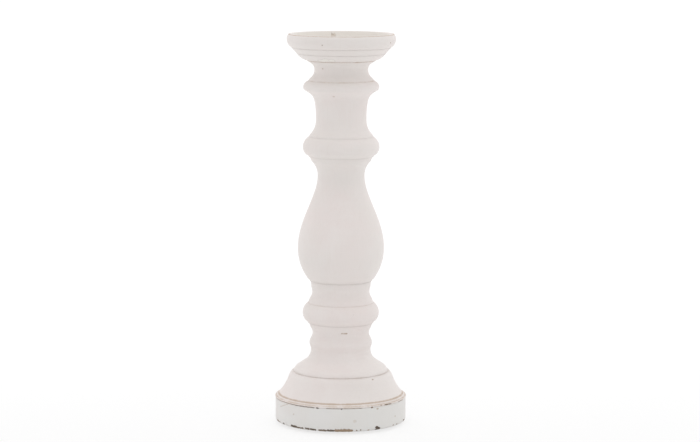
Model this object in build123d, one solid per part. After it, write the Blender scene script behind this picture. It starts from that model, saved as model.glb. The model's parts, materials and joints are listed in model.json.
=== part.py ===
from build123d import *
import os
from dataclasses import dataclass

# A painted wooden candlestick for a pillar candle. Four turned pieces are stacked on one axis: a plinth,
# a base moulding, a spindle and a dish. Screws from below and a dowel at the top hold them together, and
# four felt pads are its feet. Millimetres, +Z up; the origin is on the table, under the middle of the base.

# Heights of the joints between the stacked pieces
pad_thickness = 2.5
plinth_top = 24.3
moulding_top = 48.5
spindle_top = 336.0
overall_height = 360.0

# Plinth: a plain disc with a worn lower arris
plinth_radius = 60.4
plinth_lower_round = 2.2
plinth_upper_round = 0.5

# Dish: the recess that the candle stands in
recess_radius = 44.0
recess_depth = 6.0
recess_floor_round = 2.0
rim_inner_round = 0.8

# Spigot under the spindle, and the mortise that it is glued into
spigot_radius = 18.0
spigot_length = 8.0
mortise_extra_depth = 0.5
glue_gap = 0.05

# Fluted dowel between the spindle and the dish
dowel_radius = 6.0
dowel_length = 40.0
dowel_length_in_dish = 13.0
dowel_chamfer = 1.0
dowel_hole_extra_depth = 1.0
flute_count = 18
flute_radius = 0.45

# Long screw through the base into the spindle, with its washer in a counterbore
counterbore_radius = 10.5
counterbore_depth = 12.0
washer_radius = 9.0
washer_thickness = 1.5
spindle_screw_length = 70.0
spindle_screw_plain_length = 28.0
spindle_screw_radius = 3.0
spindle_screw_core_radius = 2.1
spindle_screw_pitch = 2.6
pan_head_radius = 6.0
pan_head_height = 4.0
screw_clearance = 0.3

# Four short countersunk screws that clamp the plinth to the base moulding
base_screw_count = 4
base_screw_circle_radius = 32.0
base_screw_length = 36.0
base_screw_plain_length = 21.4
base_screw_radius = 2.0
base_screw_core_radius = 1.4
base_screw_pitch = 1.8
base_screw_sink = 0.5
countersunk_head_radius = 4.0
countersunk_head_height = 2.6

# Fine lines scored into the turned pieces
groove_half_width = 0.35
groove_depth = 0.45

# Felt pads under the plinth
pad_count = 4
pad_radius = 11.0
pad_circle_radius = 38.0
pad_edge_round = 0.5
pad_first_angle = 45.0


# ------------------------------------------------------------------ outlines of turned pieces

@dataclass
class Mark:
    """A point of an outline, as on a turner's story stick: its radius, its height and what happens there.

    At a "corner" the outline may change direction. At a "turn" it runs parallel to the axis, as on the crest
    of a bead or the waist of a cove. A "through" point lies on the arc between its two neighbours.
    """
    radius: float
    height: float
    kind: str
    pull: float = 0.4


def corner(radius, height):
    return Mark(radius, height, "corner")


def turn(radius, height, pull=0.4):
    return Mark(radius, height, "turn", pull)


def through(radius, height):
    return Mark(radius, height, "through")


def groove(radius, height, slope):
    """A scored line across an outline whose radius changes by that slope for each millimetre of height."""
    side = slope * groove_half_width
    return [
        corner(radius - side, height - groove_half_width),
        corner(radius - groove_depth, height),
        corner(radius + side, height + groove_half_width),
    ]


def place(mark):
    """The point of a mark in the plane of the outlines, which holds the X and Z axes."""
    return Vector(mark.radius, 0, mark.height)


def s_curve(low, high):
    """A curve that leaves one turn and arrives at the next, parallel to the axis at both."""
    rise = high.height - low.height
    handle_low = place(low) + Vector(0, 0, low.pull * rise)
    handle_high = place(high) - Vector(0, 0, high.pull * rise)
    return Edge.make_bezier(place(low), handle_low, handle_high, place(high))


def outline_piece(start, via, end):
    """The edge from one mark to the next: a line, an arc or an S-curve."""
    if via is not None:
        return Edge.make_three_point_arc(place(start), place(via), place(end))
    if start.kind == "corner" and end.kind == "corner":
        return Edge.make_line(place(start), place(end))
    if start.kind == "turn" and end.kind == "turn":
        return s_curve(start, end)
    if start.kind == "turn":
        return Edge.make_tangent_arc(place(start), Vector(0, 0, 1), place(end))
    return Edge.make_tangent_arc(place(end), Vector(0, 0, -1), place(start))


def outline_edges(marks):
    """All edges of an outline, from its first mark to its last."""
    edges = []
    start = marks[0]
    via = None
    for mark in marks[1:]:
        if mark.kind == "through":
            via = mark
            continue
        edges.append(outline_piece(start, via, mark))
        start = mark
        via = None
    return edges


def turned(marks):
    """The solid that an outline sweeps round the axis, with a flat top and bottom."""
    first = marks[0]
    last = marks[-1]
    edges = outline_edges(marks)
    edges.append(Edge.make_line(place(last), Vector(0, 0, last.height)))
    edges.append(Edge.make_line(Vector(0, 0, last.height), Vector(0, 0, first.height)))
    edges.append(Edge.make_line(Vector(0, 0, first.height), place(first)))
    return revolve(Face(Wire(edges)), Axis.Z)


# Base moulding: a thin nosing, a scored line and a hollow slope above it, and a rounded shoulder
moulding_marks = [
    corner(60.2, plinth_top),
    turn(60.75, 24.9),
    corner(59.8, 25.9),
    *groove(57.7, 27.5, slope=-1.2),
    through(52.4, 34.4),
    corner(48.5, 42.5),
    through(47.2, 45.6),
    corner(45.4, 48.0),
    corner(44.3, moulding_top),
]

# Spindle: foot, ankle bead, lower ring, collar, vase, upper ring, neck, neck bead and a flare to the dish
foot_marks = [
    corner(43.5, moulding_top),
    corner(43.9, 48.9),
    through(42.9, 50.5),
    corner(41.4, 52.6),
    corner(33.4, 58.0),
    turn(27.6, 68.6),
    turn(29.0, 75.0),
    turn(26.1, 83.6, pull=0.3),
    corner(28.0, 89.4),
]
lower_ring_marks = [
    corner(29.4, 93.3),
    corner(30.5, 93.8),
    corner(31.6, 96.0),
    corner(32.9, 96.4),
    turn(35.35, 103.0),
    *groove(30.5, 112.3, slope=-1.2),
    corner(28.7, 116.4),
    turn(26.5, 122.6),
    corner(27.4, 127.0),
]
vase_marks = [
    corner(27.8, 132.2),
    corner(28.7, 132.7),
    corner(29.5, 134.6),
    corner(30.7, 135.0),
    turn(39.8, 163.0),
    turn(21.6, 230.4, pull=0.3),
    corner(27.3, 243.6),
]
upper_ring_marks = [
    corner(28.7, 247.2),
    corner(29.8, 247.7),
    corner(30.9, 249.3),
    corner(32.1, 249.7),
    turn(35.25, 256.6),
    corner(31.4, 264.6),
    *groove(29.8, 266.0, slope=-1.2),
    corner(28.8, 267.8),
    turn(23.25, 281.0),
    turn(23.25, 285.0),
    corner(24.7, 299.3),
]
neck_bead_marks = [
    through(26.3, 302.9),
    corner(29.3, 306.0),
    corner(32.6, 308.1),
    turn(34.9, 311.4),
    corner(31.5, 316.6),
    *groove(30.6, 317.3, slope=-1.2),
    corner(28.4, 319.7),
    turn(24.65, 327.3),
    corner(27.2, 332.9),
    corner(31.6, 335.7),
    corner(31.3, spindle_top),
]
spindle_marks = foot_marks + lower_ring_marks + vase_marks + upper_ring_marks + neck_bead_marks

# Dish: a hollow underside between two scored lines, then the round band of the rim
dish_marks = [
    corner(31.8, spindle_top),
    corner(32.8, 336.3),
    corner(35.7, 337.4),
    through(38.3, 339.3),
    *groove(40.9, 342.2, slope=0.8),
    *groove(45.8, 347.7, slope=0.9),
    corner(46.6, 348.3),
    turn(50.0, 355.3),
    corner(48.2, overall_height),
]


# ------------------------------------------------------------------ screws

def screw_body(head_points, radius, core_radius, plain_length, length, pitch):
    """A wood screw standing on its head, with its tip up. The thread is a row of ridges round the core."""
    tip_height = length - 2 * pitch
    ridges = int((tip_height - plain_length) / pitch)
    points = list(head_points)
    points.append((radius, plain_length))
    for index in range(ridges):
        foot = plain_length + pitch * (index + 0.3)
        points.append((core_radius, foot))
        points.append((radius, foot + 0.35 * pitch))
    points.append((core_radius, plain_length + pitch * (ridges + 0.3)))
    points.append((0, length))
    points.append((0, 0))
    wire = Wire.make_polygon([Vector(r, 0, z) for r, z in points], close=True)
    return revolve(Face(wire), Axis.Z)


def cross_recess(width, depth):
    """The cross-shaped socket of a driver, cut upwards from the bottom of the head."""
    slot = extrude(Rectangle(width, 0.22 * width), depth, taper=12)
    return slot + Rot(0, 0, 90) * slot


def spindle_screw_body():
    """The long screw, without its driver socket, where it sits in the candlestick."""
    head = [(0.75 * pan_head_radius, 0), (pan_head_radius, 0.35 * pan_head_height)]
    head.append((pan_head_radius, pan_head_height))
    head.append((spindle_screw_radius, pan_head_height))
    body = screw_body(head, spindle_screw_radius, spindle_screw_core_radius,
                      pan_head_height + spindle_screw_plain_length,
                      pan_head_height + spindle_screw_length, spindle_screw_pitch)
    head_seat = pad_thickness + counterbore_depth - washer_thickness
    return Pos(0, 0, head_seat - pan_head_height) * body


def base_screw_places():
    """Where the short screws stand, a quarter turn apart."""
    height = pad_thickness + base_screw_sink
    return [Rot(0, 0, 360 * index / base_screw_count) * Pos(base_screw_circle_radius, 0, height)
            for index in range(base_screw_count)]


def base_screw_body():
    """One short screw at the origin, without its driver socket."""
    head = [(countersunk_head_radius, 0), (base_screw_radius, countersunk_head_height)]
    return screw_body(head, base_screw_radius, base_screw_core_radius,
                      base_screw_plain_length, base_screw_length, base_screw_pitch)


# ------------------------------------------------------------------ the pieces

def upright_cylinder(radius, low, high):
    """A cylinder round the axis, from one height to another."""
    return Pos(0, 0, low) * extrude(Circle(radius), high - low)


def make_candle_dish():
    """The dish: its outline, less the candle recess and the blind hole for the dowel."""
    dish = turned(dish_marks)
    floor = overall_height - recess_depth
    recess = upright_cylinder(recess_radius, floor, overall_height)
    recess = fillet(recess.edges().group_by(Axis.Z)[0], recess_floor_round)
    dish -= recess
    mouth = dish.edges().filter_by(GeomType.CIRCLE).group_by(Axis.Z)[-1].sort_by(SortBy.RADIUS)[0]
    dish = fillet(mouth, rim_inner_round)
    hole_top = spindle_top + dowel_length_in_dish + dowel_hole_extra_depth
    return dish - upright_cylinder(dowel_radius + glue_gap, spindle_top, hole_top)


def make_spindle():
    """The spindle: its outline and spigot, less the holes that the dowel and the long screw fill."""
    spindle = turned(spindle_marks)
    spindle += upright_cylinder(spigot_radius - glue_gap, moulding_top - spigot_length, moulding_top)
    hole_bottom = spindle_top + dowel_length_in_dish - dowel_length - dowel_hole_extra_depth
    spindle -= upright_cylinder(dowel_radius + glue_gap, hole_bottom, spindle_top)
    return spindle - spindle_screw_body()


def make_base_moulding():
    """The moulding: its outline, less the mortise, the hole for the long screw and the short screws' threads."""
    moulding = turned(moulding_marks)
    mortise_floor = moulding_top - spigot_length - mortise_extra_depth
    moulding -= upright_cylinder(spigot_radius, mortise_floor, moulding_top)
    moulding -= upright_cylinder(spindle_screw_radius + screw_clearance, plinth_top, mortise_floor)
    body = base_screw_body()
    for location in base_screw_places():
        moulding -= location * body
    return moulding


def make_plinth():
    """The plinth: a disc with rounded arrises, a counterbored middle and four countersunk holes."""
    plinth = upright_cylinder(plinth_radius, pad_thickness, plinth_top)
    plinth = fillet(plinth.edges().group_by(Axis.Z)[0], plinth_lower_round)
    plinth = fillet(plinth.edges().group_by(Axis.Z)[-1], plinth_upper_round)
    shoulder = pad_thickness + counterbore_depth
    plinth -= upright_cylinder(counterbore_radius, pad_thickness, shoulder)
    plinth -= upright_cylinder(spindle_screw_radius + screw_clearance, shoulder, plinth_top)
    hole_length = plinth_top - pad_thickness - base_screw_sink
    countersink = Cone(countersunk_head_radius, base_screw_radius, countersunk_head_height,
                       align=(Align.CENTER, Align.CENTER, Align.MIN))
    hole = countersink + extrude(Circle(base_screw_radius + glue_gap), hole_length)
    hole += Pos(0, 0, -base_screw_sink) * extrude(Circle(countersunk_head_radius), base_screw_sink)
    for location in base_screw_places():
        plinth -= location * hole
    return plinth


def make_dish_dowel():
    """The dowel: a short rod with chamfered ends and glue flutes along its length."""
    top = spindle_top + dowel_length_in_dish
    dowel = upright_cylinder(dowel_radius, top - dowel_length, top)
    dowel = chamfer(dowel.edges().filter_by(GeomType.CIRCLE), dowel_chamfer)
    flute = Pos(dowel_radius, 0, 0) * upright_cylinder(flute_radius, top - dowel_length, top)
    for index in range(flute_count):
        dowel -= Rot(0, 0, 360 * index / flute_count) * flute
    return dowel


def make_spindle_screw():
    """The long pan-head screw with its driver socket."""
    head_bottom = pad_thickness + counterbore_depth - washer_thickness - pan_head_height
    return spindle_screw_body() - Pos(0, 0, head_bottom) * cross_recess(6.0, 2.6)


def make_spindle_screw_washer():
    """The plain washer between the long screw's head and the wood."""
    top = pad_thickness + counterbore_depth
    washer = upright_cylinder(washer_radius, top - washer_thickness, top)
    return washer - upright_cylinder(spindle_screw_radius + screw_clearance, top - washer_thickness, top)


def make_base_screws():
    """The four short countersunk screws, as one group of separate solids."""
    screw = base_screw_body() - cross_recess(4.6, 2.0)
    return Compound(children=[location * screw for location in base_screw_places()])


def make_felt_pad(index):
    """One round felt pad, with its lower edge pressed round."""
    pad = fillet(upright_cylinder(pad_radius, 0, pad_thickness).edges().group_by(Axis.Z)[0], pad_edge_round)
    angle = pad_first_angle + 360 * index / pad_count
    return Rot(0, 0, angle) * Pos(pad_circle_radius, 0, 0) * pad


# ------------------------------------------------------------------ one file for each piece

pieces = {
    "candle_dish": make_candle_dish(),
    "dish_dowel": make_dish_dowel(),
    "spindle": make_spindle(),
    "base_moulding": make_base_moulding(),
    "plinth": make_plinth(),
    "spindle_screw": make_spindle_screw(),
    "spindle_screw_washer": make_spindle_screw_washer(),
    "base_screws": make_base_screws(),
}
for pad_index in range(pad_count):
    pieces[f"felt_pad_{pad_index + 1}"] = make_felt_pad(pad_index)

os.makedirs("parts", exist_ok=True)
for name, piece in pieces.items():
    export_step(piece, f"parts/{name}.step")
    box = piece.bounding_box()
    print(f"{name:22} z {box.min.Z:7.2f} to {box.max.Z:7.2f}   width {box.size.X:7.2f}")
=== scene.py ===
# %% [markdown]
# # A painted wooden candlestick
#
# A turner makes this candlestick from four pieces of wood that stand on one another: a plinth, a base
# moulding, a spindle and a dish for a wide candle. It is painted a chalky off-white that has worn through
# on the edges, and four felt pads carry it. The CAD model already fixes every size and every joint, so this
# lesson is about the surface: the softness of paint over turned wood, the dirt in the scored lines, the
# chips round the foot, and the felt and zinc that show when it is turned over.
#
# The sizes could be typed in again here, but then there would be two versions of the truth. So the script
# loads the CAD model as a fixed frame, in metres, and reads what it needs from it.

import json
import math
import random

import bpy
import numpy as np
from mathutils import Matrix, Vector


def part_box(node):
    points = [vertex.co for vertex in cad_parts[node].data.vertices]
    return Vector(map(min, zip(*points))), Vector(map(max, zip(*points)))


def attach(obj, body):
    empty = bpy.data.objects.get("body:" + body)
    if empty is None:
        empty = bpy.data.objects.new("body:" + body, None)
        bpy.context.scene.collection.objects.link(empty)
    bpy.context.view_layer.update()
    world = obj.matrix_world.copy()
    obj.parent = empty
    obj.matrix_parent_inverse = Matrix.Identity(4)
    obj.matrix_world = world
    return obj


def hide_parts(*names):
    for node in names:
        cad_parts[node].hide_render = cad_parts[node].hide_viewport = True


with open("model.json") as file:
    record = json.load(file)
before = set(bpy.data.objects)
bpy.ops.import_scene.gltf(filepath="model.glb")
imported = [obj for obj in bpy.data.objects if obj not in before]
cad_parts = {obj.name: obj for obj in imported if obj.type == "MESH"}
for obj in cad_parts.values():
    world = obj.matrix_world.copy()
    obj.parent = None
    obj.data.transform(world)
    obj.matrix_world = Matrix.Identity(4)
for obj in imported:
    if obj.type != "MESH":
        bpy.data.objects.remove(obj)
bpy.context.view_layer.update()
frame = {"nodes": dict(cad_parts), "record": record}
MM = 0.001
print("CAD pieces:", ", ".join(sorted(frame["nodes"])))

# %% [markdown]
# ## A short way to write node trees
#
# Geometry Nodes and shaders are both trees of nodes, and a script that places every node and link by hand
# soon hides what it is for. Here a `Flow` stands for what comes out of a node. Sums and products of flows
# add the Math nodes that work them out, so a formula in a tree reads like a formula.

# %% Flows and nodes
class Flow:
    """What flows out of one output of a node."""

    def __init__(self, tree, node, socket):
        self.tree = tree
        self.node = node
        self.socket = socket

    def output(self, name):
        """Another open output of the same node."""
        socket = next(s for s in self.node.outputs if s.name == name and s.enabled)
        return Flow(self.tree, self.node, socket)

    def math(self, operation, *others, clamp=False):
        return add(self.tree, "ShaderNodeMath", self, *others, operation=operation, use_clamp=clamp)

    def __add__(self, other):
        return self.math("ADD", other)

    def __sub__(self, other):
        return self.math("SUBTRACT", other)

    def __rsub__(self, other):
        return self.math("MULTIPLY_ADD", -1.0, other)

    def __mul__(self, other):
        return self.math("MULTIPLY", other)

    def __truediv__(self, other):
        return self.math("DIVIDE", other)

    def __rtruediv__(self, other):
        return add(self.tree, "ShaderNodeMath", other, self, operation="DIVIDE")


def feed(tree, socket, value):
    """Puts a value on an input: a link if it flows out of a node, otherwise a number, colour or name."""
    if isinstance(value, Flow):
        tree.links.new(value.socket, socket)
    elif value is not None:
        socket.default_value = value


def add(tree, kind, *values, **settings):
    """A new node. Its settings come first, because they decide which inputs are open, and then the values
    go to the open inputs in order. None leaves an input as it is."""
    node = tree.nodes.new(kind)
    for name, setting in settings.items():
        setattr(node, name, setting)
    for socket, value in zip([s for s in node.inputs if s.enabled], values):
        feed(tree, socket, value)
    return Flow(tree, node, next((s for s in node.outputs if s.enabled), None))


def xyz(tree, x, y, z):
    return add(tree, "ShaderNodeCombineXYZ", x, y, z)


def parts(tree, vector):
    """The X, Y and Z of a vector, as three flows."""
    split = add(tree, "ShaderNodeSeparateXYZ", vector)
    return split.output("X"), split.output("Y"), split.output("Z")


def vectors(tree, operation, *values):
    return add(tree, "ShaderNodeVectorMath", *values, operation=operation)


def ramp(tree, value, start, end, low=0.0, high=1.0):
    """A smooth step: low up to the start, high from the end on."""
    return add(tree, "ShaderNodeMapRange", value, start, end, low, high, interpolation_type="SMOOTHSTEP")


def mix_colour(tree, amount, first, second):
    return add(tree, "ShaderNodeMix", amount, first, second, data_type="RGBA")


def noise(tree, place, size, detail=2.0, roughness=0.5):
    """Cloudy noise from 0 to 1, with clouds of about that size in metres."""
    return add(tree, "ShaderNodeTexNoise", place, 1.0 / size, detail, roughness)


# %% Node groups
SOCKETS = {
    "number": "NodeSocketFloat",
    "whole": "NodeSocketInt",
    "vector": "NodeSocketVector",
    "colour": "NodeSocketColor",
    "shape": "NodeSocketGeometry",
    "thing": "NodeSocketObject",
    "finish": "NodeSocketMaterial",
}


def new_group(name, kind, inputs, outputs):
    """An empty node group with named sockets. Gives the group and its inputs as flows, by name."""
    tree = bpy.data.node_groups.new(name, kind)
    for label, socket_kind in inputs.items():
        tree.interface.new_socket(label, in_out="INPUT", socket_type=SOCKETS[socket_kind])
    for label, socket_kind in outputs.items():
        tree.interface.new_socket(label, in_out="OUTPUT", socket_type=SOCKETS[socket_kind])
    entry = tree.nodes.new("NodeGroupInput")
    return tree, {s.name: Flow(tree, entry, s) for s in entry.outputs if s.name}


def close_group(tree, **results):
    """Leads the results to the group's outputs. An underscore stands for a space in a name."""
    end = tree.nodes.new("NodeGroupOutput")
    for name, value in results.items():
        feed(tree, end.inputs[name.replace("_", " ")], value)
    print(f"group {tree.name}: {len(tree.nodes)} nodes")
    return tree


def use(tree, group, **values):
    """Places a shader group in a material, with its own values."""
    node = tree.nodes.new("ShaderNodeGroup")
    node.node_tree = group
    for name, value in values.items():
        feed(tree, node.inputs[name.replace("_", " ")], value)
    return Flow(tree, node, node.outputs[0])


# %% [markdown]
# ## Reading the outlines back from the CAD pieces
#
# A turned piece is one outline swept round the axis. The outline could be taken from the mesh by cutting it
# with a plane, but a cut runs through the triangles between the true points. Every turned piece has a seam,
# where the sweep began, and its points lie exactly on the outline, so the script walks along that seam.
# A flat face has no seam, because only its rim circles are swept. So each run of the seam ends where a flat
# face begins, and the next run starts at the same height.

# %% Walk along the seam of a turned piece
LEAST_HOLE = 3.2 * MM          # narrower holes hold screw threads and never show
SHORT_SCREW_BAND = (27.9 * MM, 36.1 * MM)    # the radii where the plinth's short screws stand
ON_THE_SEAM = 0.0001 * MM
SAME_HEIGHT = 0.001 * MM


def vertex_places(mesh):
    places = np.empty(len(mesh.vertices) * 3, np.float32)
    mesh.vertices.foreach_get("co", places)
    return places.reshape(-1, 3)


def seam_runs(node):
    """The runs of a turned piece's seam, each a list of (radius, height) points in order."""
    mesh = frame["nodes"][node].data
    places = vertex_places(mesh)
    corners = np.empty(len(mesh.loops), np.int32)
    mesh.loops.foreach_get("vertex_index", corners)
    corners = corners.reshape(-1, 3)
    on_seam = (np.abs(places[:, 1]) < ON_THE_SEAM) & (places[:, 0] > -ON_THE_SEAM)
    neighbours = {}
    for first, second in ((0, 1), (1, 2), (2, 0)):
        a, b = corners[:, first], corners[:, second]
        along = on_seam[a] & on_seam[b] & (np.abs(places[a, 2] - places[b, 2]) > ON_THE_SEAM)
        for i, j in zip(a[along], b[along]):
            ends = [(round(float(places[k, 0]), 7), round(float(places[k, 2]), 7)) for k in (i, j)]
            neighbours.setdefault(ends[0], set()).add(ends[1])
            neighbours.setdefault(ends[1], set()).add(ends[0])
    free = sorted(point for point, near in neighbours.items() if len(near) == 1)
    runs = []
    while free:
        run = [free.pop()]
        onward = list(neighbours[run[0]])
        while onward:
            run.append(onward[0])
            onward = [point for point in neighbours[run[-1]] if point != run[-2]]
        free.remove(run[-1])
        runs.append(run)
    return runs


def widest(run):
    return max(radius for radius, height in run)


def follow_flats(point, runs):
    """The points that come after a point: across a flat face, along the next run, and so on."""
    path = []
    while True:
        level = [run for run in runs
                 if any(abs(end[1] - point[1]) < SAME_HEIGHT for end in (run[0], run[-1]))]
        if not level:
            return path
        for run in level:
            if abs(run[0][1] - point[1]) > SAME_HEIGHT:
                run.reverse()
        nearest = min(level, key=lambda run: abs(run[0][0] - point[0]))
        runs.remove(nearest)
        path += nearest
        point = path[-1]


def outline_of(node):
    """A turned piece's outline, from the underside's middle out, up the outside and back in, and its outside
    by itself. Where the piece has a hole right through it, the outline ends where it began."""
    runs = [run for run in seam_runs(node) if widest(run) > LEAST_HOLE]
    low, high = SHORT_SCREW_BAND
    runs = [run for run in runs if not all(low < radius < high for radius, height in run)]
    outside = max(runs, key=widest)
    runs.remove(outside)
    if outside[0][1] > outside[-1][1]:
        outside.reverse()
    above = follow_flats(outside[-1], runs)
    below = follow_flats(outside[0], runs)[::-1]
    points = below + outside + above
    if abs(points[0][1] - points[-1][1]) < SAME_HEIGHT:
        return points + points[:1], outside
    return [(0.0, points[0][1])] + points + [(0.0, points[-1][1])], outside


TURNED = ("plinth", "base_moulding", "spindle", "candle_dish")
outlines = {}
outsides = {}
outside_points = []
for node in TURNED:
    outlines[node], outsides[node] = outline_of(node)
    outside_points += outsides[node]
    print(f"{node}: {len(outlines[node])} outline points, outside from z {outsides[node][0][1] / MM:.1f} mm")

seat = next(mount for mount in frame["record"]["mounts"] if mount["name"] == "candle_seat")
recess_radius = seat["dims"]["r_mm"]
recess_floor = outlines["candle_dish"][-1][1] / MM
print(f"the candle recess is {recess_radius:.1f} mm in radius, with its floor at {recess_floor:.1f} mm")


def radius_at(height):
    """The candlestick's radius at a height."""
    return float(np.interp(height, [z for r, z in outside_points], [r for r, z in outside_points]))


# %% [markdown]
# ## Where paint wears, and where dirt and painted shade darken it
#
# A hand rubs the paint off the ridges, and dirt stays in the corners that a cloth can't reach. The corners
# are also darkened as painted shade, for the shade that falls in them. The outline already knows both: it
# bends outwards at a ridge and inwards at a corner. So every sharp bend gets a little by itself: wear at a
# ridge, dirt and painted shade in a corner. The lines that were rubbed or darkened more than that are listed
# once, by height, and each one finds its own corner on the outline. The lathe needs closer points there for a
# crisp line, and each point carries the result as an attribute named "finish": X for wear, and below 0 for a
# painted highlight in the recess, Y for dirt and painted shade and Z for bare wood.

# %% Bends and closer points
LINE_STEPS = (0.2 * MM, 0.45 * MM, 0.8 * MM, 1.3 * MM)     # extra points beside a sharp bend
HIDDEN_SPACING = 5.0 * MM      # faces inside the joints and the holes need few points
SHARP = math.radians(25)
FULL_BEND = math.radians(75)


def signed_angle(before, after):
    cross = before[:, 0] * after[:, 1] - before[:, 1] * after[:, 0]
    return np.arctan2(cross, (before * after).sum(axis=1))


def bends(points):
    """The turning at each point of an outline, in radians: above 0 at a ridge, below 0 in a corner."""
    steps = np.diff(np.array(points), axis=0)
    if points[0] == points[-1]:
        steps = np.vstack([steps[-1:], steps, steps[:1]])
        return signed_angle(steps[:-1], steps[1:])
    turning = np.zeros(len(points))
    turning[1:-1] = signed_angle(steps[:-1], steps[1:])
    return turning


def closer_points(points, turning, spacing, shown):
    """The outline with extra points: beside each sharp bend that shows, and along the stretches between."""
    fine = []
    for start, end, bend_start, bend_end in zip(points, points[1:], turning, turning[1:]):
        length = math.dist(start, end)
        stops = {0.0}
        for step in LINE_STEPS:
            if start in shown and abs(bend_start) > SHARP and step < 0.5 * length:
                stops.add(step)
            if end in shown and abs(bend_end) > SHARP and step < 0.5 * length:
                stops.add(length - step)
        stretches = math.ceil(length / (spacing if start in shown and end in shown else HIDDEN_SPACING))
        stops |= {length * i / stretches for i in range(1, stretches)}
        for stop in sorted(stops):
            share = stop / length
            fine.append((start[0] + share * (end[0] - start[0]), start[1] + share * (end[1] - start[1])))
    return fine + [points[-1]]


# %% The lines that are rubbed most, and those darkened most with dirt and painted shade
class Line:
    """A line round the piece, at a height in mm: its width in mm, its wear, and its dirt with painted shade.
    """

    def __init__(self, height, width, wear=0.0, dirt_and_shade=0.0):
        self.height = height
        self.width = width
        self.wear = wear
        self.dirt_and_shade = dirt_and_shade


# A line's dirt is partly painted shade, for the shade that falls in its scored corner.
LINES = {
    "plinth": [Line(24, 0.6, wear=0.6, dirt_and_shade=0.05)],
    "base_moulding": [
        Line(24, 0.6, wear=0.6, dirt_and_shade=0.05), Line(26, 1.3, wear=0.62), Line(27.5, 1.2, wear=0.95),
        Line(49, 1.6, wear=0.3, dirt_and_shade=0.15),
    ],
    "spindle": [
        Line(49, 1.5, wear=0.25, dirt_and_shade=0.15), Line(94, 0.8, dirt_and_shade=0.35), Line(112, 1.0, wear=0.3),
        Line(133, 0.8, dirt_and_shade=0.42), Line(248, 0.8, dirt_and_shade=0.25), Line(266, 0.9, dirt_and_shade=0.08),
        Line(317, 1.5, wear=0.38), Line(336, 1.8, wear=0.5),
    ],
    "candle_dish": [
        Line(336, 2.0, wear=0.5), Line(342, 0.8, dirt_and_shade=0.1), Line(348, 0.8, dirt_and_shade=0.15),
        Line(360, 0.7, wear=1.0),
    ],
}
CORNER_REACH = 1.6 * MM        # a line moves to a corner that is this near
EVERY_BEND = 0.12              # wear at a ridge, dirt and painted shade in a corner, at a bend that no line in the list is on
EVERY_WIDTH = 0.45             # in mm


def lay_line(finish, places, corner, width, wear, dirt_and_shade):
    """Adds wear, and dirt with painted shade, round one corner, fading over the width."""
    near = np.exp(-((np.hypot(*(places - corner).T) / (width * MM)) ** 2))
    finish[:, 0] = np.maximum(finish[:, 0], wear * near)
    finish[:, 1] = np.maximum(finish[:, 1], dirt_and_shade * near)


def finish_along(name, fine, turning):
    """Wear, dirt with painted shade, bare wood and the painted highlight in the recess at each point of the
    fine outline.
    """
    finish = np.zeros((len(fine), 3))
    places = np.array(fine)
    bend_at = dict(zip(outlines[name], turning))
    outside = outsides.get(name, [])
    corners = [point for point in outside if abs(bend_at[point]) > SHARP]
    for corner in corners:
        amount = EVERY_BEND * min(1.0, abs(bend_at[corner]) / FULL_BEND)
        # A ridge gets a little wear, and a corner gets dirt together with painted shade.
        worn = bend_at[corner] > 0
        lay_line(finish, places, corner, EVERY_WIDTH, amount if worn else 0.0, 0.0 if worn else amount)
    for line in LINES.get(name, []):
        height = line.height * MM
        corner = min(corners + [outside[0], outside[-1]], key=lambda point: abs(point[1] - height))
        if abs(corner[1] - height) > CORNER_REACH:
            corner = (radius_at(height), height)
        lay_line(finish, places, corner, line.width, line.wear, line.dirt_and_shade)
    if name == "plinth":
        finish[fine.index(outside[-1]) + 1:-1, 2] = 1.0      # the underside and the holes were never painted
    if name == "candle_dish":
        recessed = (places[:, 0] < recess_radius * MM + 0.2 * MM) & (places[:, 1] > (recess_floor - 0.1) * MM)
        finish[recessed & (finish[:, 0] < 0.1), 0] = -1.0    # painted highlight: the recess is drawn lighter, for the light that falls on its far wall
    return finish


def tell_outline(name, spacing):
    """A line of points with the outline's shape and finish, for the turning tree to sweep."""
    turning = bends(outlines[name])
    fine = closer_points(outlines[name], turning, spacing, set(outsides.get(name, outlines[name])))
    finish = finish_along(name, fine, turning)
    mesh = bpy.data.meshes.new(name + "_outline")
    mesh.from_pydata([(radius, 0.0, height) for radius, height in fine], [], [])
    mesh.attributes.new("finish", "FLOAT_VECTOR", "POINT").data.foreach_set("vector", finish.ravel())
    worn, dirty_and_shaded = (finish[:, :2] > 0.3).sum(axis=0)
    print(f"{name}: {len(fine)} points, {worn} worn, {dirty_and_shaded} dirty")
    return mesh


# %% [markdown]
# ## The chips
#
# Paint on wood chips where it is knocked: round the foot above all, along the joint over the plinth, and
# in a few specks elsewhere. Each chip is one point of a cloud that lies on the surface, with two attributes.
# "size" is its half width, half height and depth, and "look" is its tone and its strength. The tone runs
# from -1, a dab of fresh paint, through 0, bare tan wood, to 1, dark old wood. The chips in front are
# placed one by one, and a loop with a fixed seed scatters the rest round the sides and back.

# %% Chips placed one by one
class Chip:
    """One chip: its angle from the front in degrees, its height, its half width, half height and depth in mm,
    its tone and its strength. It lies on the outside at that height, unless a radius in mm is given."""

    def __init__(self, angle, height, reach, rise, depth, tone, strength=1.0, radius=None):
        self.angle = angle
        self.height = height
        self.size = (reach, rise, depth)
        self.look = (tone, strength, 0.0)
        self.radius = radius


ROW_RADIUS = 60.0              # in mm: the rows of chips run round the base


def flaked_line(start, end, height, rise, depth, tone, strength=1.0, seed=1):
    """A row of chips that run into each other, from one angle to another."""
    draw = random.Random(seed)
    chips = []
    angle = start
    while angle < end:
        reach = draw.uniform(0.9, 1.5)
        chips.append(Chip(angle, height + draw.uniform(-0.15, 0.15), reach, rise * draw.uniform(0.75, 1.25),
                          depth, tone, strength))
        angle += math.degrees(1.1 * reach / ROW_RADIUS)
    return chips


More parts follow.
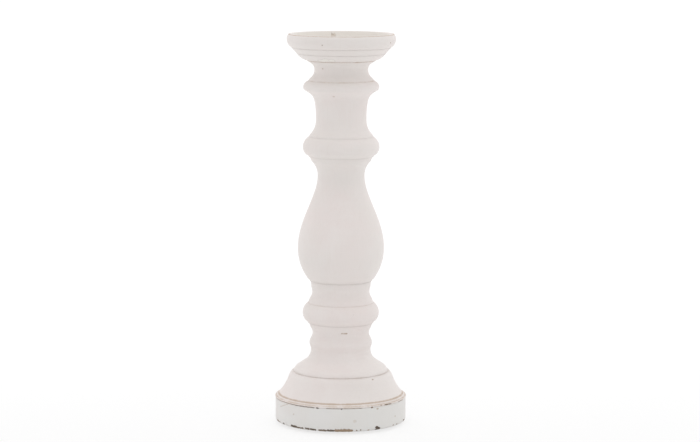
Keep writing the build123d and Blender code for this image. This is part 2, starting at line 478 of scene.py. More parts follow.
foot_chips = [
    Chip(-80.6, 3.6, 1.2, 0.9, 0.4, 0.7), Chip(-67.9, 3.9, 1.3, 0.8, 0.4, 0.8),
    Chip(-60.0, 4.1, 1.2, 1.0, 0.5, 0.9), Chip(14.0, 3.9, 0.8, 0.7, 0.3, 0.6),
    Chip(17.7, 4.2, 0.7, 0.6, 0.3, 0.6), Chip(24.9, 3.5, 1.2, 0.6, 0.3, 0.1, 0.7),
    Chip(33.8, 3.9, 3.3, 1.4, 0.8, 0.95), Chip(33.2, 5.2, 1.7, 1.2, 0.7, 0.95),
    Chip(53.2, 4.2, 0.9, 0.7, 0.3, 0.4, 0.7), Chip(59.0, 4.2, 1.1, 0.6, 0.3, 0.4, 0.7),
]
foot_chips += flaked_line(-47.6, -41.5, 4.2, 1.1, 0.6, 0.9, seed=6)
foot_chips += flaked_line(-40.5, -34.0, 3.9, 0.8, 0.5, 0.8, seed=7)
foot_chips += flaked_line(-31.8, -29.0, 4.2, 0.9, 0.5, 0.9, seed=8)
foot_chips += flaked_line(-27.0, -21.6, 4.1, 0.9, 0.5, 0.95, seed=9)
foot_chips += flaked_line(-18.4, -12.4, 3.9, 0.8, 0.4, 0.8, seed=10)
foot_chips += flaked_line(-10.8, -6.0, 4.0, 1.0, 0.5, 0.9, seed=12)
foot_chips += flaked_line(-4.2, 10.0, 4.0, 1.45, 0.7, 0.35, seed=13)
print(len(foot_chips), "chips along the foot")

joint_chips = [
    Chip(-20.4, 24.3, 1.3, 0.7, 0.3, 0.7), Chip(1.0, 24.2, 1.6, 0.7, 0.35, 0.9),
    Chip(28.3, 24.3, 1.0, 0.9, 0.3, 0.4), Chip(33.9, 22.4, 1.2, 0.8, 0.12, 0.15, 0.6),
    Chip(37.6, 25.2, 0.9, 0.5, 0.2, 0.4, 0.8),
]
joint_chips += flaked_line(-76, -47, 24.6, 0.35, 0.2, 0.35, 0.8, seed=2)
joint_chips += flaked_line(-47, -23.5, 24.4, 0.4, 0.2, 0.45, 0.75, seed=3)
joint_chips += flaked_line(-11.7, 19, 24.5, 0.35, 0.2, 0.3, 0.6, seed=4)
joint_chips += flaked_line(42.5, 49.5, 25.0, 0.45, 0.2, 0.7, seed=5)
print(len(joint_chips), "chips along the joint over the plinth")

PALE_TAN = -0.3                # a tone between bare wood and fresh paint
specks = [
    Chip(-45.2, 15.5, 0.9, 0.8, 0.05, 0.0, 0.35), Chip(12.5, 12.6, 1.6, 1.4, 0.05, PALE_TAN, 0.3),
    Chip(56.0, 12.0, 1.0, 0.8, 0.05, 0.0, 0.4), Chip(39.2, 46.6, 1.2, 0.6, 0.15, 0.3, 0.7),
    Chip(10.6, 123.2, 0.6, 0.6, 0.15, 0.8), Chip(19.8, 105.5, 0.7, 0.5, 0.15, 0.6),
    Chip(2.5, 87.5, 1.5, 0.6, 0.12, 0.25, 0.8), Chip(6.5, 87.2, 1.2, 0.5, 0.12, 0.3, 0.8),
    Chip(10.5, 87.3, 1.5, 0.7, 0.12, 0.2, 0.8),
    Chip(-14.0, 304.5, 1.6, 0.7, 0.1, 0.0, 0.4), Chip(-42.8, 329.2, 1.1, 0.7, 0.1, 0.2, 0.4),
    Chip(-20.2, 352.3, 0.8, 0.6, 0.1, 0.5, 0.55), Chip(63.5, 353.2, 0.9, 0.7, 0.1, 0.5, 0.55),
    Chip(-31.0, 336.8, 3.2, 2.0, 0.0, -1.0, 0.9), Chip(-23.0, 337.6, 3.4, 2.3, 0.0, -1.0, 0.9),
    Chip(-14.0, 337.4, 2.8, 2.0, 0.0, -1.0, 0.9),
]
for step in range(10):         # a scratch that runs slantwise
    specks.append(Chip(-66 + 1.4 * step, 19.0 + 0.5 * step, 1.1, 0.4, 0.03, 0.0, 0.35))
specks += [
    Chip(192.5, recess_floor + 4.0, 1.2, 1.2, 0.1, 1.0, 1.0, recess_radius),
    Chip(190.0, recess_floor + 2.4, 2.6, 2.4, 0.0, 0.0, 0.3, recess_radius),
]
print(len(specks), "specks and dabs higher up")

# %% Chips scattered round the rest
scatter = random.Random(11)
scattered_chips = []
for start in range(72, 280, 9):
    foot_run = start + scatter.uniform(0, 4)
    scattered_chips += flaked_line(foot_run, foot_run + scatter.uniform(0.5, 7.0), scatter.uniform(3.6, 4.3),
                                   scatter.uniform(0.6, 1.2), 0.5, scatter.uniform(0.3, 0.95), seed=start)
for start in (62, 97, 128, 171, 204, 246):
    length = scatter.uniform(8, 26)
    scattered_chips += flaked_line(start, start + length, scatter.uniform(24.3, 24.7), 0.4, 0.22,
                                   scatter.uniform(0.3, 0.7), 0.85, seed=start)
for index in range(26):
    scattered_chips.append(Chip(scatter.uniform(80, 280), scatter.uniform(26, 356), scatter.uniform(0.4, 0.9),
                                scatter.uniform(0.35, 0.7), 0.12, scatter.uniform(0.1, 0.8),
                                scatter.uniform(0.4, 0.8)))
print(len(scattered_chips), "chips scattered round the sides and back")

# %% The cloud of chips
def chip_cloud(chips):
    """One point on the surface for each chip, with its size and look as attributes."""
    places = []
    for chip in chips:
        angle = math.radians(chip.angle)
        radius = radius_at(chip.height * MM) if chip.radius is None else chip.radius * MM
        places.append((radius * math.sin(angle), -radius * math.cos(angle), chip.height * MM))
    mesh = bpy.data.meshes.new("chips")
    mesh.from_pydata(places, [], [])
    sizes = np.array([chip.size for chip in chips]) * MM
    looks = np.array([chip.look for chip in chips])
    mesh.attributes.new("size", "FLOAT_VECTOR", "POINT").data.foreach_set("vector", sizes.ravel())
    mesh.attributes.new("look", "FLOAT_VECTOR", "POINT").data.foreach_set("vector", looks.ravel())
    cloud = bpy.data.objects.new("chips", mesh)
    bpy.context.scene.collection.objects.link(cloud)
    return cloud


cloud = chip_cloud(foot_chips + joint_chips + specks + scattered_chips)
print("the cloud has", len(cloud.data.vertices), "points")

# %% [markdown]
# ## The lathe
#
# A lathe sweeps an outline round an axis, which is a rule, so Geometry Nodes do it. A Spin or a Screw
# modifier could sweep the line as well, but neither can carry the wear and dirt along and then knock the
# chips out of the surface. The tree makes a grid with one column for each step round the axis and one row
# for each point of the outline, and rolls it up: column by column it looks up the outline's point for that
# row, and turns it to the column's angle. The first and last columns meet, and so do the points on the
# axis, so they are merged. Then the surface moves a little inwards in soft waves, as hand-turned wood does,
# and each point finds its nearest chip and sinks by the chip's depth.

# %% The lathe: one grid, rolled up
MERGE_DISTANCE = 0.002 * MM
CHIP_GRAIN = 1.6 * MM          # the size of the bites that make a chip's rim ragged


def attribute(tree, name):
    return add(tree, "GeometryNodeInputNamedAttribute", name, data_type="FLOAT_VECTOR")


def look_up(tree, source, value, index):
    """A vector of another shape, read at one of its points."""
    return add(tree, "GeometryNodeSampleIndex", source, value, index, data_type="FLOAT_VECTOR")


def store(tree, shape, name, value):
    return add(tree, "GeometryNodeStoreNamedAttribute", shape, None, name, value, data_type="FLOAT_VECTOR")


def position(tree):
    return add(tree, "GeometryNodeInputPosition")


def roll_up(tree, given):
    """The grid, rolled up into the outline's sweep, with the outline's finish on it."""
    outline, segments = given["Outline"], given["Segments"]
    rows = add(tree, "GeometryNodeAttributeDomainSize", outline).output("Point Count")
    grid = add(tree, "GeometryNodeMeshGrid", 1.0, 1.0, segments + 1, rows).output("Mesh")
    index = add(tree, "GeometryNodeInputIndex")
    column = add(tree, "FunctionNodeIntegerMath", index, rows, operation="DIVIDE_FLOOR")
    row = add(tree, "FunctionNodeIntegerMath", index, rows, operation="MODULO")
    radius, unused, height = parts(tree, look_up(tree, outline, position(tree), row))
    turn = column / segments * math.tau
    place = xyz(tree, radius * turn.math("SINE"), radius * turn.math("COSINE") * -1, height)
    swept = add(tree, "GeometryNodeSetPosition", grid, None, vectors(tree, "ADD", place, given["Centre"]))
    swept = store(tree, swept, "finish", look_up(tree, outline, attribute(tree, "finish"), row))
    return add(tree, "GeometryNodeMergeByDistance", swept, None, MERGE_DISTANCE)


# %% The lathe: soft waves and chips
def soften(tree, given, shape):
    """The surface, moved inwards in soft waves."""
    waves = noise(tree, position(tree), given["Wave Size"], 1.0)
    from_axis = vectors(tree, "SUBTRACT", position(tree), given["Centre"])
    outwards = vectors(tree, "NORMALIZE", vectors(tree, "MULTIPLY", from_axis, (1, 1, 0)))
    offset = vectors(tree, "MULTIPLY", outwards, xyz(tree, *[waves * given["Wave Depth"] * -1] * 3))
    return add(tree, "GeometryNodeSetPosition", shape, None, None, offset)


def knock_chips(tree, given, shape):
    """The surface, sunk at each chip. The attribute "chip" keeps how far inside a chip each point is, from 1
    at its middle to 0 at its rim and below 0 outside it, with the chip's tone and strength."""
    cloud = add(tree, "GeometryNodeObjectInfo", given["Chips"]).output("Geometry")
    nearest = add(tree, "GeometryNodeSampleNearest", cloud, position(tree))
    middle = look_up(tree, cloud, position(tree), nearest)
    reach, rise, depth = parts(tree, look_up(tree, cloud, attribute(tree, "size"), nearest))
    tone, strength, unused = parts(tree, look_up(tree, cloud, attribute(tree, "look"), nearest))
    x, y, z = parts(tree, vectors(tree, "SUBTRACT", position(tree), middle))
    sideways = (x * x + y * y).math("SQRT") / reach
    up = z / rise
    inside = 1.0 - (sideways * sideways + up * up).math("SQRT")
    ragged = inside + (noise(tree, position(tree), CHIP_GRAIN) - 0.5) * 0.9
    ragged = ragged.math("MAXIMUM", -1.0)
    sink = ramp(tree, ragged, 0.0, 0.4) * depth * -1
    normal = add(tree, "GeometryNodeInputNormal")
    shape = store(tree, shape, "chip", xyz(tree, ragged, tone, strength))
    offset = vectors(tree, "MULTIPLY", normal, xyz(tree, sink, sink, sink))
    return add(tree, "GeometryNodeSetPosition", shape, None, None, offset)


def lathe_tree():
    inputs = {"Outline": "shape", "Segments": "whole", "Centre": "vector", "Wave Depth": "number",
              "Wave Size": "number", "Chips": "thing", "Finish": "finish"}
    tree, given = new_group("lathe", "GeometryNodeTree", inputs, {"Turned": "shape"})
    shape = roll_up(tree, given)
    shape = soften(tree, given, shape)
    shape = knock_chips(tree, given, shape)
    shape = add(tree, "GeometryNodeSetShadeSmooth", shape, None, True)
    shape = add(tree, "GeometryNodeRealizeInstances", shape)
    return close_group(tree, Turned=add(tree, "GeometryNodeSetMaterial", shape, None, given["Finish"]))


lathe = lathe_tree()


# %% Run a tree and keep its result
def triangles(mesh):
    return sum(len(face.vertices) - 2 for face in mesh.polygons)


def modified_mesh(piece):
    """The mesh that the piece's modifiers make of it. The modifiers are then taken off."""
    depsgraph = bpy.context.evaluated_depsgraph_get()
    result = bpy.data.meshes.new_from_object(piece.evaluated_get(depsgraph), preserve_all_data_layers=True,
                                             depsgraph=depsgraph)
    piece.modifiers.clear()
    return result


def run_tree(name, mesh, tree, values):
    """A new piece: the tree's result on that mesh, as a plain mesh with no modifier left on it."""
    piece = bpy.data.objects.new(name, mesh)
    bpy.context.scene.collection.objects.link(piece)
    modifier = piece.modifiers.new(tree.name, "NODES")
    modifier.node_group = tree
    for item in tree.interface.items_tree:
        if item.in_out == "INPUT" and item.name in values:
            modifier[item.identifier] = values[item.name]
    piece.data = modified_mesh(piece)
    bpy.data.meshes.remove(mesh)
    piece.data.name = name
    print(f"{name}: {triangles(piece.data)} triangles")
    return piece


# %% [markdown]
# ## Effects that several finishes share
#
# Five effects come back in more than one finish: soft clouds, fibres, timber, wear along the lines, and
# the chips. Each is a shader node group with named inputs, built once and placed in every material with
# its own values. A group gives only masks, colours and heights. The shader itself stays in the material.

# %% Clouds and fibres
def clouds_group():
    tree, given = new_group("clouds", "ShaderNodeTree", {"Place": "vector", "Size": "number"},
                            {"Cloud": "number"})
    cloud = noise(tree, given["Place"], given["Size"], 3.0, 0.55)
    return close_group(tree, Cloud=ramp(tree, cloud, 0.34, 0.66))


def fibres_group():
    """Fibres that run up the piece, as the grain does in a turned spindle."""
    tree, given = new_group("fibres", "ShaderNodeTree",
                            {"Place": "vector", "Width": "number", "Length": "number"}, {"Fibres": "number"})
    x, y, z = parts(tree, given["Place"])
    width, length = given["Width"], given["Length"]
    stretched = xyz(tree, x / width, y / width, z / length)
    return close_group(tree, Fibres=add(tree, "ShaderNodeTexNoise", stretched, 1.0, 4.0, 0.6))


clouds = clouds_group()
fibres = fibres_group()


# %% Timber
RING_SPACING = 4.1 * MM


def timber_group():
    """Bare wood with growth rings along its length, fine fibres and short dark flecks."""
    tree, given = new_group("timber", "ShaderNodeTree",
                            {"Place": "vector", "Light": "colour", "Dark": "colour"},
                            {"Colour": "colour", "Height": "number"})
    x, y, z = parts(tree, given["Place"])
    bow = noise(tree, given["Place"], 90 * MM, 1.0) * (45 * MM)
    wobble = noise(tree, given["Place"], 14 * MM, 2.0) * (2.5 * MM)
    rings = (x + bow + wobble) * (math.tau / RING_SPACING)
    seasons = ramp(tree, noise(tree, given["Place"], 22 * MM, 2.0), 0.3, 0.65)     # no two rings are alike
    ring = (rings.math("SINE") * 0.5 + 0.5) * seasons
    fine = use(tree, fibres, Place=given["Place"], Width=0.5 * MM, Length=14 * MM)
    short = use(tree, fibres, Place=given["Place"], Width=0.35 * MM, Length=1.6 * MM)
    flecks = ramp(tree, short, 0.62, 0.7)
    colour = mix_colour(tree, ring * 0.28 + fine * 0.4, given["Light"], given["Dark"])
    colour = mix_colour(tree, flecks * 0.35, colour, given["Dark"])
    return close_group(tree, Colour=colour, Height=fine - flecks * 0.3)


timber = timber_group()


# %% Wear along the lines, and chips
def wear_group():
    """Wear, dirt with painted shade and bare wood from the outline's finish, broken up so that no line is
    even, and the painted highlight in the recess.
    """
    tree, given = new_group("wear", "ShaderNodeTree", {"Place": "vector", "Finish": "vector"},
                            {"Worn": "number", "Dirty": "number", "Bare": "number", "Fresh": "number"})
    worn, dirty_and_shaded, bare = parts(tree, given["Finish"])
    # painted highlight: below 0, the finish marks the recess, which is drawn lighter
    recess_highlight = (worn * -1).math("ADD", 0.0, clamp=True)
    patches = noise(tree, given["Place"], 9 * MM, 3.0)
    specks = noise(tree, given["Place"], 1.2 * MM, 2.0)
    worn = ramp(tree, worn * (patches * 1.5 + specks * 0.9 - 0.35), 0.1, 0.75)
    # dirt and painted shade in the corners, broken up
    dirty_and_shaded = dirty_and_shaded * (patches * 0.9 + specks * 0.35 + 0.2)
    bare = ramp(tree, bare + (patches - 0.5) * 0.8 + (specks - 0.5) * 0.3, 0.4, 0.6)
    return close_group(tree, Worn=worn, Dirty=dirty_and_shaded.math("MINIMUM", 1.0), Bare=bare, Fresh=recess_highlight)


def chips_group():
    """Where the paint has gone, the lifted lip round it, and how dark the wood in it is."""
    tree, given = new_group("chips", "ShaderNodeTree", {"Place": "vector", "Chip": "vector"},
                            {"Open": "number", "Lip": "number", "Tone": "number"})
    inside, tone, strength = parts(tree, given["Chip"])
    crumbs = noise(tree, given["Place"], 0.45 * MM, 3.0)
    inside = inside + (crumbs - 0.5) * 0.35
    opened = ramp(tree, inside, -0.04, 0.1) * strength
    lip = ramp(tree, inside, -0.3, -0.06) * (1.0 - opened)
    return close_group(tree, Open=opened, Lip=lip * strength, Tone=tone + (crumbs - 0.5) * 0.3)


wear = wear_group()
chips = chips_group()

# %% [markdown]
# ## The paint
#
# The paint is a flat, chalky off-white: rough, with hardly any gloss. It isn't one colour. Thin coats let
# the warm wood blush through in broad clouds, the fibres under it raise faint streaks that run up the
# piece, and a brush has left fine ridges round it. A flat colour with a noise bump would look like plastic,
# so the material lays these over each other in the order in which they happened: wood, paint, dirt, wear,
# chips. Painted light goes in among them: a painted highlight that whitens the candle recess, and painted
# shade mixed with the dirt in the corners. Heights are in millimetres, because the Bump node's distance is
# set to one millimetre.

# %% Colours as on a paint chart
def chart(red, green, blue):
    """A colour given from 0 to 255, as the linear colour that a shader works with."""
    linear = [(c / 255 / 12.92) if c < 11 else ((c / 255 + 0.055) / 1.055) ** 2.4 for c in (red, green, blue)]
    return (*linear, 1.0)


TAN_WOOD = chart(190, 164, 138)
DARK_WOOD = chart(98, 86, 76)
PALE_BEECH = chart(214, 184, 146)
DEEP_BEECH = chart(176, 138, 100)
# white for dabs of fresh paint and for the painted highlight in the recess
FRESH_PAINT_AND_HIGHLIGHT = chart(240, 236, 230)
# grey for dirt and for painted shade in the corners and scored lines
DIRT_AND_SHADE_GREY = chart(160, 151, 144)


def new_material(name, **constants):
    """A material with one Principled shader. Gives its tree, the object coordinates and the shader node.
    Constants are set on the shader's own sockets."""
    material = bpy.data.materials.new(name)
    material.use_nodes = True
    tree = material.node_tree
    shader = tree.nodes["Principled BSDF"]
    for socket, value in constants.items():
        shader.inputs[socket.replace("_", " ")].default_value = value
    place = add(tree, "ShaderNodeTexCoord").output("Object")
    return material, tree, place, shader


def bump(tree, shader, height, strength=1.0):
    """Leads a height in millimetres to the shader's normal."""
    feed(tree, shader.inputs["Normal"], add(tree, "ShaderNodeBump", strength, MM, None, height))


def surface_attribute(tree, name):
    return add(tree, "ShaderNodeAttribute", attribute_name=name).output("Vector")


# %% Chalky paint on turned wood
def painted_wood(name, coat, blush, shade, grain):
    """Chalky paint: its coat, the warm blush where it is thin, the cooler shade in broad clouds, and how much
    the grain under it shows. The sheen stands for the powdery skin of such paint, pale at its edges."""
    material, tree, place, shader = new_material(name, Specular_IOR_Level=0.3, Sheen_Weight=0.2,
                                                 Sheen_Roughness=0.5)
    streaks = use(tree, fibres, Place=place, Width=1.6 * MM, Length=45 * MM)
    colour = mix_colour(tree, use(tree, clouds, Place=place, Size=34 * MM) * 0.7, coat, blush)
    colour = mix_colour(tree, use(tree, clouds, Place=place, Size=70 * MM) * 0.6, colour, shade)
    colour = mix_colour(tree, ramp(tree, streaks, 0.45, 0.8) * grain, colour, TAN_WOOD)

    lines = use(tree, wear, Place=place, Finish=surface_attribute(tree, "finish"))
    wood = use(tree, timber, Place=place, Light=PALE_BEECH, Dark=DEEP_BEECH)
    # painted highlight: the recess is whitened, for the light that falls on its far wall
    colour = mix_colour(tree, lines.output("Fresh") * 0.8, colour, FRESH_PAINT_AND_HIGHLIGHT)
    # dirt and painted shade: the corners and scored lines are darkened with grey, for dirt and for the shade
    # that falls in them
    colour = mix_colour(tree, lines.output("Dirty"), colour, DIRT_AND_SHADE_GREY)
    colour = mix_colour(tree, lines.output("Worn") * 0.65, colour, TAN_WOOD)
    colour = mix_colour(tree, lines.output("Bare"), colour, wood.output("Colour"))

    spots = use(tree, chips, Place=place, Chip=surface_attribute(tree, "chip"))
    tone = spots.output("Tone")
    spot_colour = mix_colour(tree, tone.math("ADD", 0.0, clamp=True), TAN_WOOD, DARK_WOOD)
    spot_colour = mix_colour(tree, (tone * -1).math("ADD", 0.0, clamp=True), spot_colour, FRESH_PAINT_AND_HIGHLIGHT)
    colour = mix_colour(tree, spots.output("Lip") * 0.3, colour, DIRT_AND_SHADE_GREY)
    colour = mix_colour(tree, spots.output("Open"), colour, spot_colour)
    feed(tree, shader.inputs["Base Color"], colour)

    tooth = noise(tree, place, 0.3 * MM, 2.0)
    x, y, z = parts(tree, place)
    round_it = xyz(tree, x / (24 * MM), y / (24 * MM), z / (0.7 * MM))
    brush = add(tree, "ShaderNodeTexNoise", round_it, 1.0, 3.0, 0.6)
    feed(tree, shader.inputs["Roughness"], tooth * 0.16 + 0.7)
    height = tooth * 0.03 + brush * 0.03 + streaks * grain * 0.5
    height = height + wood.output("Height") * lines.output("Bare") * 0.05
    bump(tree, shader, height - spots.output("Open") * 0.12)
    return material


body_paint = painted_wood("chalk_paint", coat=chart(237, 230, 227), blush=chart(236, 225, 222),
                          shade=chart(232, 228, 224), grain=0.05)
plinth_paint = painted_wood("chalk_paint_cool", coat=chart(233, 231, 229), blush=chart(234, 228, 224),
                            shade=chart(228, 228, 225), grain=0.02)
print("paints:", body_paint.name, plinth_paint.name)

# %% [markdown]
# ## The four turned pieces
#
# Each piece runs through the lathe with its own outline. More segments go where the piece is wide and its
# edge is chipped, because a chip has to be several faces across to have a shape.

# %% Turn the four pieces
WAVES = {"Wave Depth": 0.15 * MM, "Wave Size": 38 * MM}
TURNING = {
    "plinth": (720, 0.5 * MM, plinth_paint),
    "base_moulding": (540, 0.7 * MM, body_paint),
    "spindle": (240, 1.9 * MM, body_paint),
    "candle_dish": (420, 0.8 * MM, body_paint),
}
turned = {}
for node, (segments, spacing, paint) in TURNING.items():
    turned[node] = run_tree("turned_" + node, tell_outline(node, spacing), lathe,
                            {"Segments": segments, "Chips": cloud, "Finish": paint, **WAVES})

# %% [markdown]
# ## Pockets for the short screws
#
# Four countersunk screws clamp the plinth from below, and their heads lie in pockets. A lathe can't turn
# those, and on the real piece a drill cuts them after the turning. So the lathe tree turns a cutter in the
# shape of the drill's tip, and a Boolean modifier takes it away from the plinth. The places and the head's
# radius are read from the CAD screws.

# %% Drill the pockets
SHORT_SCREWS = 4
POCKET_GAP = 0.12 * MM
BELOW_THE_PLINTH = 1 * MM      # the cutter starts here, so that it cuts the underside cleanly
CUTTER_SEGMENTS = 64
POCKET_ATTRIBUTES = {"finish": (0.0, 0.0, 1.0), "chip": (-1.0, 0.0, 0.0)}     # bare wood, outside any chip


def screw_heads():
    """The middle, radius and lowest height of each short screw's head. They stand evenly round the axis."""
    places = vertex_places(frame["nodes"]["base_screws"].data)
    turns = np.arctan2(places[:, 1], places[:, 0]) / math.tau
    quarter = np.round(turns * SHORT_SCREWS) % SHORT_SCREWS
    for number in range(SHORT_SCREWS):
        screw = places[quarter == number]
        low, high = screw.min(axis=0), screw.max(axis=0)
        middle = (float(low[0] + high[0]) / 2, float(low[1] + high[1]) / 2)
        yield middle, float(high[0] - low[0]) / 2, float(low[2])


def drill_tip(centre, radius, head_low):
    """A cutter in the shape of one countersunk pocket, turned on the lathe."""
    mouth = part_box("plinth")[0].z - BELOW_THE_PLINTH
    wall = radius + POCKET_GAP
    bottom = head_low + 0.5 * wall
    outline = bpy.data.meshes.new("drill")
    outline.from_pydata([(0, 0, mouth), (wall, 0, mouth), (wall, 0, head_low), (0.5 * wall, 0, bottom),
                         (0, 0, bottom)], [], [])
    return run_tree("drill", outline, lathe,
                    {"Segments": CUTTER_SEGMENTS, "Centre": (*centre, 0.0), "Chips": cloud})


def take_away(piece, cutters):
    """Cuts the cutters out of a piece. The cut forgets the attributes, so each old point gets its own back,
    and the new points, which lie in the pockets, become bare wood without a chip."""
    old = piece.data
    known = {tuple(vertex.co): vertex.index for vertex in old.vertices}
    for cutter in cutters:
        cut = piece.modifiers.new("pocket", "BOOLEAN")
        cut.operation = "DIFFERENCE"
        cut.solver = "MANIFOLD"
        cut.object = cutter
    piece.data = modified_mesh(piece)
    rows = [known.get(tuple(vertex.co), -1) for vertex in piece.data.vertices]     # -1 is the new wood
    for name, new_wood in POCKET_ATTRIBUTES.items():
        before = np.empty(len(old.vertices) * 3, np.float32)
        old.attributes[name].data.foreach_get("vector", before)
        before = np.vstack([before.reshape(-1, 3), new_wood])
        piece.data.attributes[name].data.foreach_set("vector", before[rows].ravel())
    print(rows.count(-1), "new points in the pockets")
    bpy.data.meshes.remove(old)
    piece.data.name = piece.name


tips = [drill_tip(*head) for head in screw_heads()]
take_away(turned["plinth"], tips)
for tip in tips:
    bpy.data.meshes.remove(tip.data)

# %% Hang the turned pieces on the root and hide the CAD pieces they take the place of
for node, piece in turned.items():
    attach(piece, "root")
    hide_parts(node)
    print(f"{piece.name}: {triangles(piece.data)} triangles")

# %% [markdown]
# ## The felt pads
#
# The pads are punched from brown wool felt, so their edges are soft and a little ragged. The lathe turns
# them too, each round its own centre, with shorter waves. Wool has a sheen that paint hasn't, because
# loose fibres stand off its surface.

# %% Felt
def wool_felt(name):
    material, tree, place, shader = new_material(name, Sheen_Weight=0.35, Sheen_Roughness=0.6, Roughness=0.95)
    curl = noise(tree, place, 0.9 * MM, 3.0)
    hairs = add(tree, "ShaderNodeTexNoise", place, 1 / (0.35 * MM), 4.0, 0.65, None, 2.5)
    mottle = use(tree, clouds, Place=place, Size=4 * MM)
    colour = mix_colour(tree, mottle, chart(112, 92, 76), chart(92, 76, 64))
    colour = mix_colour(tree, ramp(tree, hairs, 0.5, 0.75) * 0.6, colour, chart(150, 130, 110))
    feed(tree, shader.inputs["Base Color"], colour)
    bump(tree, shader, hairs * 0.12 + curl * 0.15)
    return material


FELT_PADS = 4
PAD_SEGMENTS = 120
PAD_SPACING = 0.5 * MM
PAD_TAPER = 0.1 * MM           # a punch leaves the top a little smaller
PAD_WAVES = {"Wave Depth": 0.35 * MM, "Wave Size": 2.2 * MM}


def pad_outline(low, high):
    """A flat disc with a round lower edge."""
    radius = (high.x - low.x) / 2
    soft = 0.25 * (high.z - low.z)
    edge = [(radius - soft * (1 - math.sin(turn)), low.z + soft * (1 - math.cos(turn)))
            for turn in (math.radians(angle) for angle in range(0, 91, 15))]
    return [(0.0, 0.0)] + edge + [(radius - PAD_TAPER, high.z), (0.0, high.z)]


felt = wool_felt("wool_felt")
for number in range(1, FELT_PADS + 1):
    node = f"felt_pad_{number}"
    low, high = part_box(node)
    centre = (low + high) / 2
    outlines[node] = pad_outline(low, high)
    pad = run_tree(f"felt_disc_{number}", tell_outline(node, PAD_SPACING), lathe,
                   {"Segments": PAD_SEGMENTS, "Centre": (centre.x, centre.y, 0.0), "Chips": cloud,
                    "Finish": felt, **PAD_WAVES})
    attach(pad, "root")
    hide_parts(node)

# %% [markdown]
# ## The screws, the washer and the dowel
#
# These keep their CAD shapes and only get a finish. The steel is zinc plated: bright, slightly blue, with
# the soft blotches that plating has and fine scratches from handling. The dowel is bare beech.

# %% Zinc and beech
def zinc_plate(name):
    material, tree, place, shader = new_material(name, Metallic=1.0)
    blotches = use(tree, clouds, Place=place, Size=1.8 * MM)
    scratches = add(tree, "ShaderNodeTexNoise", place, 1 / (0.25 * MM), 3.0, 0.6)
    colour = mix_colour(tree, blotches, chart(196, 198, 200), chart(172, 176, 182))
    feed(tree, shader.inputs["Base Color"], colour)
    feed(tree, shader.inputs["Roughness"], blotches * 0.14 + scratches * 0.18 + 0.22)
    bump(tree, shader, scratches * 0.012)
    return material


def beech(name):
    material, tree, place, shader = new_material(name, Roughness=0.7)
    wood = use(tree, timber, Place=place, Light=PALE_BEECH, Dark=DEEP_BEECH)
    feed(tree, shader.inputs["Base Color"], wood.output("Colour"))
    bump(tree, shader, wood.output("Height") * 0.04)
    return material


zinc = zinc_plate("zinc_plate")
CAD_FINISHES = {
    "spindle_screw": zinc,
    "spindle_screw_washer": zinc,
    "base_screws": zinc,
    "dish_dowel": beech("bare_beech"),
}
for node, finish in CAD_FINISHES.items():
    frame["nodes"][node].data.materials.clear()
    frame["nodes"][node].data.materials.append(finish)
    print(node, "is finished in", finish.name)

bpy.data.meshes.remove(cloud.data)

# %% [markdown]
# ## The studio
#
# The candlestick stands on a wide pale floor in a tent of white cloth. The cloth is a little brighter behind
# and above than in front, which is what lifts the edges of a round white piece off a white floor. One large
# soft light hangs in front and above. The floor is lit paper for the candlestick, but the camera sees it
# brighter, as a white table is when it is lit from below.

# %% Floor, sky and light
FLOOR_SIZE = 40.0
LIFT_STARTS = -0.2             # the paper grows brighter towards the back, from here
LIFT_FULL = 0.9                # to here, in metres
LIFT = 0.42


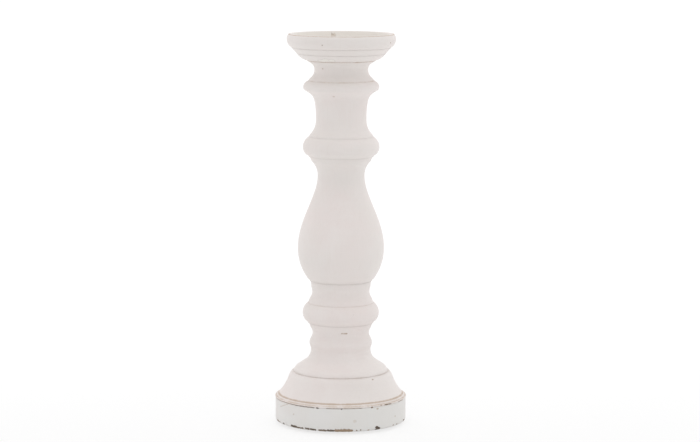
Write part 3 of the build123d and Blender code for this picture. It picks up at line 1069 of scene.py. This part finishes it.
def plain_floor(glow):
    """White paper. The glow is how much of what the camera sees of it is lit from below."""
    half = FLOOR_SIZE / 2
    mesh = bpy.data.meshes.new("floor")
    corners = [(-half, -half, 0), (half, -half, 0), (half, half, 0), (-half, half, 0)]
    mesh.from_pydata(corners, [], [(0, 1, 2, 3)])
    floor = bpy.data.objects.new("floor", mesh)
    bpy.context.scene.collection.objects.link(floor)
    material, tree, place, shader = new_material("floor_paper", Roughness=0.9,
                                                 Base_Color=chart(246, 246, 246))
    lit = add(tree, "ShaderNodeEmission", (1.0, 1.0, 1.0, 1.0), 1.0)
    seen = add(tree, "ShaderNodeLightPath").output("Is Camera Ray")
    paper = Flow(tree, shader, shader.outputs["BSDF"])
    both = add(tree, "ShaderNodeMixShader", seen * glow, paper, lit)
    x, y, z = parts(tree, place)
    feed(tree, shader.inputs["Emission Color"], (1.0, 1.0, 1.0, 1.0))
    feed(tree, shader.inputs["Emission Strength"], ramp(tree, y, LIFT_STARTS, LIFT_FULL, 0.0, LIFT))
    feed(tree, tree.nodes["Material Output"].inputs["Surface"], both)
    mesh.materials.append(material)


def cloth_tent(level, behind, above):
    """A white sky with that level, brighter towards the back and towards the top."""
    world = bpy.data.worlds.new("tent")
    world.use_nodes = True
    tree = world.node_tree
    x, y, z = parts(tree, add(tree, "ShaderNodeTexCoord").output("Generated"))
    background = tree.nodes["Background"]
    background.inputs["Color"].default_value = (1, 1, 1, 1)
    feed(tree, background.inputs["Strength"], y * behind + z * above + level)
    bpy.context.scene.world = world


def soft_light(name, place, target, size, power):
    light = bpy.data.lights.new(name, "AREA")
    light.shape = "DISK"
    light.size = size
    light.energy = power
    lamp = bpy.data.objects.new(name, light)
    lamp.location = place
    lamp.rotation_euler = (Vector(target) - Vector(place)).to_track_quat("-Z", "Y").to_euler()
    bpy.context.scene.collection.objects.link(lamp)


plain_floor(glow=0.75)
cloth_tent(level=0.835, behind=0.22, above=0.16)
soft_light("soft_light_above", place=(0.3, -0.9, 2.2), target=(0, 0, 0.2), size=1.6, power=4.0)
bpy.context.scene.view_settings.view_transform = "Standard"

# %% [markdown]
# ## The camera
#
# The camera stands a little over two metres away, so the candlestick is drawn almost without perspective,
# and looks down slightly. A long lens fills the frame. It is turned a hair to the right of the axis and
# rolled a hair, as a camera held by hand is.

# %% The camera
CAMERA_PLACE = (0.0, -2.2811, 0.4915)
LOOKS_DOWN = math.radians(7.582)
TURNED_RIGHT = math.radians(0.2085)
ROLLED = math.radians(0.15)

lens = bpy.data.cameras.new("camera")
lens.lens = 128.6
lens.sensor_width = 36.0
camera = bpy.data.objects.new("camera", lens)
camera.matrix_world = (
    Matrix.Translation(CAMERA_PLACE)
    @ Matrix.Rotation(-TURNED_RIGHT, 4, "Z")
    @ Matrix.Rotation(math.radians(90) - LOOKS_DOWN, 4, "X")
    @ Matrix.Rotation(ROLLED, 4, "Z")
)
bpy.context.scene.collection.objects.link(camera)
bpy.context.scene.camera = camera
print("camera at", [round(c, 3) for c in camera.location])
